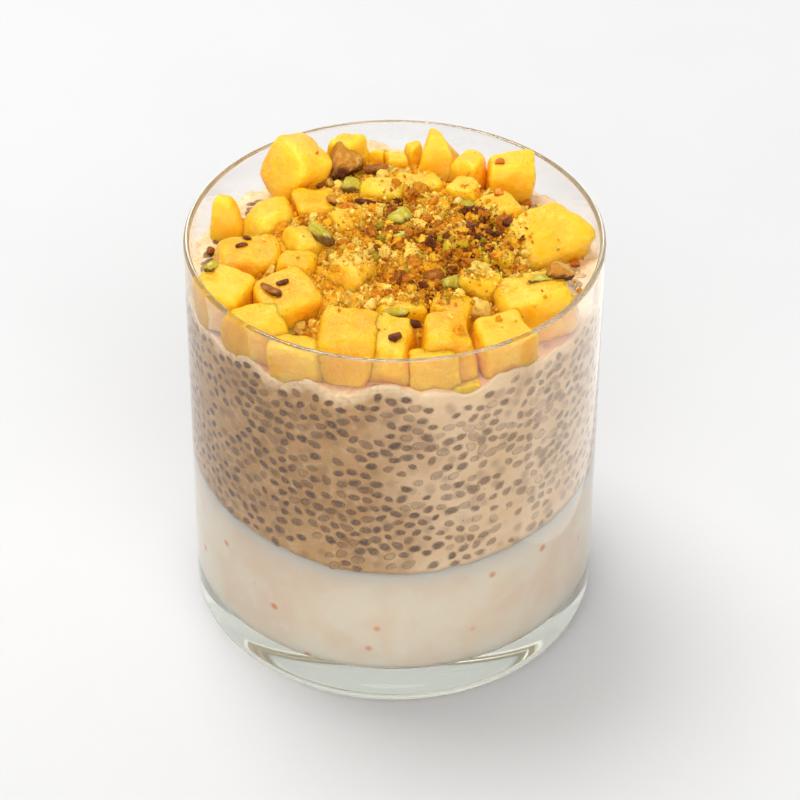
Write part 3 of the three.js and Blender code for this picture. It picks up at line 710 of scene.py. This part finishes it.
def pudding_gel():
    """The pudding: from the meeting line up the wall to its frothy top. froth is 1 at the top edge and fades 4 mm
    below it."""
    base = [(WET_RADIUS * share, 0.0) for share in np.linspace(0, 1, 12)[1:]]
    wall = [(WET_RADIUS, share) for share in np.linspace(0, 1, 40)[1:]]
    top = [(WET_RADIUS * share, 1.0) for share in np.linspace(1, 0, 90)[1:-1]]
    points, faces, depth = fill_between([*base, *wall, *top], layer_level, frothy_top)
    froth = smooth_step(-depth, -4.0, -0.4)
    make_piece("pudding_gel", points, faces, seeded_gel(), "pudding", ["chia_pudding"], froth=froth)
    return points, faces


def lens(rings=(0.45, 0.75, 1.0), sides=12):
    """A seed's unit shape: rings of a lens 1 - r^2 high over a round plan, closed by a pole above and one below. rim is
    each point's r."""
    points, faces = closed_rings(turned([(r, 1 - r * r) for r in reversed(rings)], sides), (0, 0, -0.6), (0, 0, 1))
    return points, faces, away_from(points)


def pushed_apart(points, gap, hold, rounds):
    """Points moved away from each neighbour nearer than gap by a quarter of what is lacking, and held to their surface
    after each round."""
    for _ in range(rounds):
        apart = points[:, None] - points[None]
        distance = np.linalg.norm(apart, axis=-1) + np.eye(len(points)) * gap * 2
        push = np.clip(gap - distance, 0, None) / distance * 0.25
        points = hold(points + (apart * push[..., None]).sum(1))
    return points


def seeds_on_wall(count):
    """Middles of the seeds that show through the wall, scattered on the pudding's side and pushed apart, and the way
    out and the way along the wall at each, turned mostly level."""
    angle = rng.uniform(0, 2 * math.pi, count)
    share = rng.uniform(0, 1, count)

    def hold(points):
        """Points put back on the wall, between the cream and the froth."""
        x, y = (points[:, :2] / away_from(points)[:, None] * WET_RADIUS).T
        z = np.clip(points[:, 2], layer_level(x, y) + SEED_ABOVE, frothy_top(x, y) - SEED_BELOW)
        return spread_to_wall(np.stack([x, y, z], -1))

    x, y = polar(WET_RADIUS, angle).T
    low, high = layer_level(x, y) + SEED_ABOVE, frothy_top(x, y) - SEED_BELOW
    middle = pushed_apart(hold(np.stack([x, y, low + share * (high - low)], -1)), SEED_GAP, hold, SEED_ROUNDS)
    out = unit_rows(middle * [1, 1, 0])
    along = np.stack([-out[:, 1], out[:, 0], np.zeros(count)], -1)
    turn = rng.normal(0, 0.5, count)[:, None]
    return middle, out, np.cos(turn) * along + np.sin(turn) * [0.0, 0.0, 1.0]


def seeds_on_top(tree, count):
    """Middles of seeds dropped on the pudding where it lies bare, the way up from it and a way along it at each."""
    reach = (INNER_RADIUS - 1.0) * np.sqrt(rng.uniform(size=count))
    angle = rng.uniform(0, 2 * math.pi, count)
    start = lifted(polar(reach, angle), SEED_DROP)
    spots, normals, faces = landings(tree, start, np.tile([0.0, 0.0, -1.0], (count, 1)))
    bare = faces >= MANGO_FACES + BED_FACES
    along = np.cross(normals[bare], unit_rows(rng.normal(size=(bare.sum(), 3))))
    return spots[bare], normals[bare], unit_rows(along)


def pudding_seeds(tree):
    """Every soaked seed that shows, at the wall and on the bare top: a lens whose outline 1 + a cos(2t) + b cos(3t) is
    drawn for each seed. A share of them lies deeper and shows faintly, and all fade further towards the right as
    painted light."""
    lots = seeds_on_wall(SEEDS_AT_WALL), seeds_on_top(tree, SEEDS_ON_TOP)
    middle, out, first = (np.concatenate(rows) for rows in zip(*lots))
    second = np.cross(out, first)
    count = len(middle)
    unit, faces, rim = lens()
    angle = np.arctan2(unit[:, 1], unit[:, 0])
    bulge = rng.normal(0, 0.05, (2, count, 1))
    phase = rng.uniform(0, 2 * math.pi, (2, count, 1))
    outline = 1 + bulge[0] * np.cos(2 * angle + phase[0]) + bulge[1] * np.cos(3 * angle + phase[1])
    size = (SEED_HALF_LENGTH * rng.normal(1.0, 0.12, (count, 1)) * outline)[..., None]
    flat = unit[:, 0:1] * first[:, None] + unit[:, 1:2] * SEED_WIDTH_SHARE * second[:, None]
    points = (middle + out * 0.01)[:, None] + size * flat + unit[:, 2:3] * SEED_HALF_THICKNESS * out[:, None]
    clear = np.where(rng.uniform(size=count) < CLEAR_SEEDS, rng.uniform(0.8, 1.0, count), rng.uniform(0.3, 0.75, count))
    # painted light: every seed fades into the gel towards the right, as under a bright veil
    clear = clear * (1 - 0.35 * smooth_step(middle[:, 0], 2, 26))
    shades = paint([(98, 58, 26), (86, 50, 24), (112, 70, 34), (94, 62, 38)])
    tint = shades[rng.integers(0, len(shades), count)] * rng.uniform(0.6, 1.05, (count, 1))
    make_piece(
        "pudding_seeds", points.reshape(-1, 3), repeated(unit, faces, count), soaked_seed(), "pudding",
        rim=np.tile(rim, count), clear=np.repeat(clear, len(unit)), tint=np.repeat(tint, len(unit), 0))


# The topping

DICE_POINTS, DICE_FACES = cube_skin(20)
MANGO_FACES = len(MANGO) * len(DICE_FACES)
BED_RINGS, BED_SIDES = 130, 320
BED_FACES = (BED_RINGS + 1) * BED_SIDES
BED_DEPTH = 1.5  # how far the crumble's core reaches under the pudding's top


def turn_of(yaw=0, pitch=0, roll=0):
    """The turn that yaws about Z after pitching about X after rolling about Y, in degrees."""
    turn = np.eye(3)
    for degrees, first, second in ((yaw, 0, 1), (pitch, 1, 2), (roll, 2, 0)):
        angle, about = math.radians(degrees), np.eye(3)
        about[first, first] = about[second, second] = math.cos(angle)
        about[second, first], about[first, second] = math.sin(angle), -math.sin(angle)
        turn = turn @ about
    return turn


def mango_dice(piece, number):
    """One knife-cut dice. A cube's skin is drawn in to |u|^p + |v|^p + |w|^p = 1, narrowed and leaned with its rise,
    pulled askew by a draw at each of its eight corners, blended between them, roughened by noise of three sizes, turned
    and set in place; what would pass the wall lies along it."""
    power = piece.get("power", EDGE_POWER)
    round_off = DICE_POINTS * (np.abs(DICE_POINTS) ** power).sum(1, keepdims=True) ** (-1 / power)
    rise = (round_off[:, 2] + 1) / 2
    taper, lean = (np.broadcast_to(piece.get(name, 0), 2) for name in ("taper", "lean"))
    half = np.array([piece["wide"] / 2, piece["deep"] / 2, (piece["top"] - piece["low"]) / 2])
    local = round_off * half
    for axis in (0, 1):
        local[:, axis] = local[:, axis] * (1 - taper[axis] * rise) + lean[axis] * rise
    corners = np.array(list(np.ndindex(2, 2, 2))) * 2 - 1
    askew = np.random.default_rng(number).normal(0, 0.14, (8, 3)) * half
    local = local + ((1 + round_off[:, None] * corners) / 2).prod(-1) @ askew
    relief = 0.55 * noise(local, 5.0, number) + 0.3 * noise(local, 2.2, number + 50)
    relief = relief + 0.12 * noise(local, 1.1, number + 90)
    local = local + round_off / np.linalg.norm(round_off, axis=1, keepdims=True) * relief[:, None]
    turn = turn_of(*(piece.get(name, 0) for name in ("yaw", "pitch", "roll")))
    points = local @ turn.T + [piece["x"], piece["y"], (piece["low"] + piece["top"]) / 2]
    fit = np.minimum(1, (inside_radius(points[:, 2]) + DICE_DEPTH) / away_from(points))
    points[:, :2] *= fit[:, None]
    grain = local @ turn_of(47 * number, 31 * number).T + 13.0 * number
    return points, grain, rise


def mango_pieces():
    """Every dice as a piece of its own. Their points and faces are given back for what lies on them."""
    flesh = ripe_mango()
    skins = []
    for number, piece in enumerate(MANGO, 1):
        points, grain, rise = mango_dice(piece, number)
        pale = np.full(len(points), piece.get("pale", 0.12))
        # 1 on the more golden pieces, partly a painted shade
        ripe = np.full(len(points), float(number in RIPE_AND_SHADED_PIECES))
        make_piece(
            f"mango_dice_{number:02d}", points, [DICE_FACES], flesh, "mango", [f"mango_{number:02d}"],
            grain=grain, rise=rise, pale=pale, ripe=ripe)
        skins.append((points, [DICE_FACES]))
    return skins


def crumble_bed():
    """The heap's core: the mound's height with lumps, noise of three sizes, over its oval, closed underneath."""
    shares = np.linspace(1, 0, BED_RINGS)[:-1]
    rings = turned([(1.0, 0.0), *((share, 1.0) for share in shares)], BED_SIDES)
    x = MOUND_AT[0] + MOUND_RADII[0] * rings[..., 0]
    y = MOUND_AT[1] + MOUND_RADII[1] * rings[..., 1]
    top = rings[..., 2] > 0
    place = np.stack([x, y, np.zeros_like(x)], -1)
    lump = 0.7 * noise(place, 3.6, 21) + 0.6 * noise(place, 1.8, 22) + 0.4 * noise(place, 0.9, 23)
    z = np.where(top, mound_top(x, y) + lump, pudding_top(x, y) - BED_DEPTH)
    poles = [(*MOUND_AT, pudding_top(*MOUND_AT) - BED_DEPTH), (*MOUND_AT, mound_top(*MOUND_AT))]
    points, faces = closed_rings(np.stack([x, y, z], -1), *poles)
    # each dip's depth, which the core's material darkens as painted shade
    hollow = np.concatenate([np.where(top, lump, 0).ravel(), [0, 0]])
    away = away_from(points, HEAP_AT)
    make_piece("crumble_bed", points, faces, crumble_core(), "crumble", ["nut_crumble"], hollow=hollow, away=away)
    return points, faces


def sight():
    """The camera's place and its rightward, upward and forward directions: it looks along +Y and down, with a roll."""
    forward = np.array([0, math.cos(SIGHT_ELEVATION), -math.sin(SIGHT_ELEVATION)])
    level, above = np.array([1.0, 0, 0]), np.array([0, math.sin(SIGHT_ELEVATION), math.cos(SIGHT_ELEVATION)])
    right = math.cos(SIGHT_ROLL) * level + math.sin(SIGHT_ROLL) * above
    up = math.cos(SIGHT_ROLL) * above - math.sin(SIGHT_ROLL) * level
    return SIGHT_TARGET - SIGHT_DISTANCE * forward, right, up, forward


def topping_tree(skins):
    """Several skins of points and faces as one tree of faces, for finding where something lands on them."""
    starts = np.cumsum([0, *(len(points) for points, _ in skins)])
    faces = [(block + start).tolist() for (_, blocks), start in zip(skins, starts) for block in blocks]
    return BVHTree.FromPolygons(np.concatenate([points for points, _ in skins]).tolist(), sum(faces, []))


def landings(tree, starts, ways):
    """Where each straight flight from a start along a way first meets the topping, the face's normal there and the
    face's number."""
    hits = [tree.ray_cast(start, way) for start, way in zip(starts.tolist(), ways.tolist())]
    hits = [hit for hit in hits if hit[0] is not None]
    return tuple(np.array([hit[field] for hit in hits]) for field in range(3))


NUT_POINTS, NUT_FACES = cube_skin(9)
NUT_LIFT = 0.35  # share of a nut's or crumb's half size that its middle lies above what it lies on
# Each kind's own shade, its darker shade painted on its lower side as shade, and the lighter shade of its patches
NUT_SHADES = {
    "pistachio": ((190, 176, 48), (104, 72, 24), (222, 208, 112)),
    "roasted": ((196, 130, 40), (76, 30, 18), (226, 176, 84)),
    "brown": ((146, 82, 22), (80, 38, 14), (186, 118, 40)),
    "skin": ((84, 34, 18), (54, 22, 14), (120, 60, 30)),
    "orange": ((214, 122, 18), (166, 82, 10), (234, 158, 50)),
    "nib": ((232, 194, 80), (188, 126, 36), (248, 224, 136)),
}


def chopped_shape(radii, number):
    """A chopped nut: a rounded cube cut back by nine seeded planes where it passes them, then roughened by noise and
    stretched to its radii."""
    unit = unit_rows(NUT_POINTS) * 0.8 + NUT_POINTS * 0.3
    draws = np.random.default_rng(100 + number)
    for normal, depth in zip(unit_rows(draws.normal(size=(9, 3))), draws.uniform(0.65, 0.9, 9)):
        unit = unit - np.clip(unit @ normal - depth, 0, None)[:, None] * normal
    rough = 1.08 + 0.04 * noise(unit * 3, 1.6, number) + 0.06 * noise(unit * 3, 0.6, number + 7)
    return unit * rough[:, None] * radii


def nut_pieces(tree):
    """Every nut that shows by itself: a chopped shape set where its picture point's sight line meets the topping, its
    long side turned as seen. Its shade turns from the first to the second towards its lower side, as painted shade, and
    to the third in patches."""
    eye, right, up, forward = sight()
    points, tints = [], []
    for number, (kind, px, py, across, along, through, turn) in enumerate(NUTS):
        way = forward + right * (px - PICTURE / 2) / SIGHT_FOCAL - up * (py - PICTURE / 2) / SIGHT_FOCAL
        spot, normal, _, _ = tree.ray_cast(eye.tolist(), way.tolist())
        normal = unit_rows(np.array(normal) + [0, 0, 0.6])
        angle = math.radians(turn)
        first = right * math.cos(angle) + up * math.sin(angle)
        first = unit_rows(first - normal * (first @ normal))
        second = np.cross(normal, first)
        shape = chopped_shape(np.array([across, along, through]), number)
        lying = shape @ np.stack([first, second, normal])
        points.append(np.array(spot) + normal * through * NUT_LIFT + lying)
        base, foot, patch = paint(NUT_SHADES[kind])
        # painted shade: darker towards the nut's underside and its lower side in the picture
        lower = -0.5 * shape[:, 2] / through - lying @ up / along
        shaded_underside = smooth_step(lower + 0.5 * noise(shape, 0.7, number + 400), -0.1, 0.5)[:, None]
        spotted = smooth_step(noise(shape, 0.9, number + 300), 0.0, 0.6)[:, None]
        tints.append((base + spotted * (patch - base)) * (1 - shaded_underside) + foot * shaded_underside)
    make_piece(
        "chopped_nuts", np.concatenate(points), repeated(NUT_POINTS, [NUT_FACES], len(NUTS)), chopped_nut(), "crumble",
        tint=np.concatenate(tints))


# Crumb shades from pale to dark, with how often each comes
CRUMB_SHADES = [
    ((246, 210, 96), 3), ((236, 178, 42), 5), ((222, 150, 16), 6), ((172, 148, 28), 1.8), ((206, 128, 18), 4),
    ((184, 106, 12), 4), ((142, 74, 10), 2.4), ((98, 44, 14), 1.2),
]
DARK_PATCH = (16.5, 1.0)  # where the heap is brownest
DARK_REACH = 5.0
CRUMB_AIM = 79.0  # height that falling crumbs are aimed at
CRUMB_DROP = 25  # length of their fall to there


def crumb_spots(tree, count, heap):
    """Landing places of loose crumbs: they fall at slants from all round, a share of them on the heap in the middle
    and the others anywhere inside the glass. All stay on the bed, a share 0.45 exp(-(d/15)^2) of those at a distance d
    from the heap on mango, and a seventh on bare pudding."""
    on_heap = rng.uniform(size=count) < heap
    reach = np.where(on_heap, HEAP_REACH, INNER_RADIUS - 1.5) * np.sqrt(rng.uniform(size=count))
    angle = rng.uniform(0, 2 * math.pi, count)
    middle = np.where(on_heap[:, None], HEAP_AT, [0.0, 0.0])
    aim = lifted(middle + polar(reach, angle), CRUMB_AIM)
    clump = rng.uniform(size=count) < 0.5
    aim[clump, :2] = aim[rng.integers(0, count, clump.sum()), :2] + rng.normal(0, 0.7, (clump.sum(), 2))
    slant = np.abs(rng.normal(0, 0.6, count))
    side = rng.uniform(0, 2 * math.pi, count)
    way = unit_rows(lifted(polar(slant, side), -1.0))
    spots, normals, faces = landings(tree, aim - way * CRUMB_DROP, way)
    on_mango = faces < MANGO_FACES
    on_bed = ~on_mango & (faces < MANGO_FACES + BED_FACES)
    near = np.exp(-(away_from(spots, HEAP_AT) / 15) ** 2)
    stays = np.where(on_mango, 0.45 * near, np.where(on_bed, 1.0, 1 / 7))
    kept = (away_from(spots) < INNER_RADIUS - 0.6) & (rng.uniform(size=len(spots)) < stays)
    return spots[kept], normals[kept]


def loose_crumbs(tree, name, count, heap, small, large, cuts):
    """Loose crumbs: a cube's skin drawn towards a ball, its points shaken, stretched, turned at random and set on what
    it landed on. Each draws one shade; the draw leans by noise, so that like shades lie together, to brown in the dark
    patch and to pale away from the heap."""
    spots, normals = crumb_spots(tree, count, heap)
    count = len(spots)
    unit, faces = cube_skin(cuts)
    unit = unit * 0.35 + unit_rows(unit) * 0.65
    shape = unit[None] * (1 + 0.22 * rng.normal(size=(count, len(unit), 1)))
    size = small + (large - small) * rng.uniform(size=count) ** 2.5
    shape = shape * size[:, None, None] * rng.uniform(0.6, 1.1, (count, 1, 3))
    first = unit_rows(rng.normal(size=(count, 3)))
    second = unit_rows(np.cross(first, rng.normal(size=(count, 3))))
    axes = np.stack([first, second, np.cross(first, second)], 1)
    points = (spots + normals * (size * NUT_LIFT)[:, None])[:, None] + shape @ axes
    shades = paint([shade for shade, _ in CRUMB_SHADES])
    odds = np.cumsum([often for _, often in CRUMB_SHADES])
    brown = 0.18 * np.exp(-((spots[:, :2] - DARK_PATCH) ** 2).sum(1) / DARK_REACH ** 2)
    golden = 0.3 * smooth_step(away_from(spots, HEAP_AT), 12, 20)
    lot = np.clip(rng.uniform(size=count) + 0.4 * noise(spots, 3.5, 61) + brown - golden, 0, 0.999)
    tint = shades[np.searchsorted(odds / odds[-1], lot)] * rng.uniform(0.85, 1.15, (count, 1))
    make_piece(
        name, points.reshape(-1, 3), repeated(unit, [faces], count), bpy.data.materials["chopped_nut"], "crumble",
        smooth=False, tint=np.repeat(tint, len(unit), 0))


# Camera, light and floor

def soft_lamp(name, shape, size, energy, toward, distance, about=(0, 0, 0.04)):
    """A flat lamp that stands at a distance from a spot, in the direction toward, and shines back at the spot. A lamp
    at no distance lies on the spot and shines against that direction."""
    light = bpy.data.lights.new(name, "AREA")
    light.shape = shape
    light.size, light.size_y = size
    light.energy = energy
    lamp = bpy.data.objects.new(name, light)
    toward = unit_rows(np.array(toward, float))
    side = np.cross([0, 0, 1.0], toward)
    side = unit_rows(side) if side.any() else np.array([1.0, 0, 0])
    axes = np.stack([side, np.cross(toward, side), toward], 1)
    lamp.matrix_world = Matrix.Translation(toward * distance + about) @ Matrix(axes.tolist()).to_4x4()
    bpy.context.scene.collection.objects.link(lamp)
    return lamp


def studio():
    """The camera where the photograph's stood, a pale floor, a high soft light from behind on the left, a white card
    that only shows as a gleam on the right of the glass, and an even sky."""
    scene = bpy.context.scene
    eye, right, up, forward = sight()
    lens_data = bpy.data.cameras.new("camera")
    lens_data.sensor_width = SENSOR
    lens_data.lens = SENSOR * SIGHT_FOCAL / PICTURE
    lens_data.clip_start = 0.01
    camera = bpy.data.objects.new("camera", lens_data)
    camera.matrix_world = Matrix.Translation(eye * MM) @ Matrix(np.stack([right, up, -forward], 1).tolist()).to_4x4()
    scene.collection.objects.link(camera)
    scene.camera = camera

    mesh = bpy.data.meshes.new("floor")
    corners = [(FLOOR_REACH * x, FLOOR_REACH * y, FLOOR_LEVEL) for x, y in ((-1, -1), (1, -1), (1, 1), (-1, 1))]
    mesh.from_pydata(corners, [], [(0, 1, 2, 3)])
    mesh.materials.append(plain_floor())
    floor = bpy.data.objects.new("floor", mesh)
    scene.collection.objects.link(floor)

    key = soft_lamp("key", "DISK", (KEY_WIDTH, KEY_WIDTH), KEY_POWER, KEY_TOWARD, KEY_DISTANCE)
    key.visible_transmission = False
    card = soft_lamp("card", "RECTANGLE", CARD_SIZE, CARD_POWER, [0, 0, -1], 0.0, CARD_AT)
    card.visible_camera = card.visible_diffuse = card.visible_transmission = False

    world = bpy.data.worlds.new("sky")
    world.use_nodes = True
    bench = Bench(world, world.node_tree, world.node_tree.nodes["Background"])
    way = bench.node("TexCoord", {}, "Generated")

    def glow_from(toward, start, light):
        """Light that grows to its full strength as the cosine of the way to its direction goes from start to 1."""
        sockets = {0: way, 1: tuple(unit_rows(np.array(toward)))}
        facing = bench.node("VectorMath", sockets, "Value", operation="DOT_PRODUCT")
        return bench.step(facing, start, 1.0, 0.0, light)

    height = bench.node("SeparateXYZ", {"Vector": way}, "Z")
    low = bench.step(height, 0.1, 0.6, SKY_LIGHT + LOW_LIGHT, SKY_LIGHT)
    glow = bench.sum("ADD", glow_from(FILL_TOWARD, 0.6, FILL_LIGHT), glow_from(BACK_TOWARD, 0.5, BACK_LIGHT))
    world.cycles.sampling_method = "NONE"
    scene.world = bench.finish(Color=(1, 1, 1, 1), Strength=bench.sum("ADD", low, glow))
    scene.cycles.max_bounces, scene.cycles.diffuse_bounces, scene.cycles.glossy_bounces = 24, 8, 12
    scene.view_settings.view_transform = "Standard"


def build():
    """Every piece in turn. The order is also the order of the random draws."""
    glass_tumbler()
    cream_fill()
    gel = pudding_gel()
    tree = topping_tree([*mango_pieces(), crumble_bed(), gel])
    pudding_seeds(tree)
    nut_pieces(tree)
    loose_crumbs(tree, "nut_bits", count=300, heap=0.65, small=0.7, large=1.5, cuts=4)
    loose_crumbs(tree, "coarse_crumbs", count=1300, heap=0.5, small=0.4, large=1.0, cuts=2)
    loose_crumbs(tree, "fine_crumbs", count=26000, heap=0.45, small=0.15, large=0.45, cuts=1)
    studio()


build()
